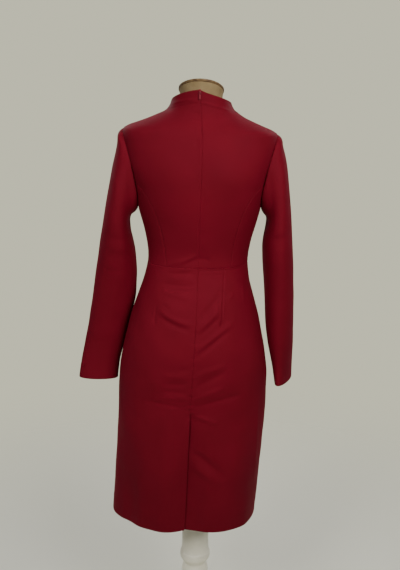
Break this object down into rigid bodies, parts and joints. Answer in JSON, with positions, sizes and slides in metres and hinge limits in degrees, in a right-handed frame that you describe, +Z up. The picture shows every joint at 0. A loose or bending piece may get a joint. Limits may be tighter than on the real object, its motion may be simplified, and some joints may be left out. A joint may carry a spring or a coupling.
{
  "type": "funnel-neck midi dress on a limbless dress form",
  "caption": "Close-fitting long-sleeved midi dress with a grown-on high neck, centre back zip and back vent, worn by a limbless dress form on a turned post and round base.",
  "frame": {"origin": "on the floor, at the centre of the stand base's underside, on the axis of the post", "axes": "+Z up along the post; the back of the dress, with its zip and vent, faces -Y; the wearer's right is +X"},
  "size_m": [0.5237, 0.33, 1.463],
  "materials": {
    "crepe": "smooth deep red stretch crepe with a soft sheen",
    "zip_tape": "woven tape dyed to match the cloth",
    "zip_enamel": "glossy red enamel",
    "linen": "plain beige linen cover",
    "cap_wood": "brown varnish",
    "white_paint": "white satin paint on turned wood"
  },
  "bodies": {
    "dress_on_form": {"back_bodice_left": "crepe", "back_bodice_right": "crepe", "side_back_left": "crepe", "side_back_right": "crepe", "front_bodice": "crepe", "sleeve_left": "crepe", "sleeve_right": "crepe", "back_skirt_left": "crepe", "back_skirt_right": "crepe", "front_skirt": "crepe", "zip_tape_left": "zip_tape", "zip_tape_right": "zip_tape", "zip_slider": "zip_enamel", "form_torso": "linen", "form_neck_cap": "cap_wood", "stand_post": "white_paint", "stand_base": "white_paint"},
    "pull_tab": {"zip_pull_tab": "zip_enamel"}
  },
  "joints": [
    {"name": "pull_tab_hinge", "type": "hinge", "parent": "dress_on_form", "child": "pull_tab", "pos_m": [-0.00161, -0.06407, 1.43383], "axis": [-1, 0, 0], "range_deg": [0, 150]}
  ]
}
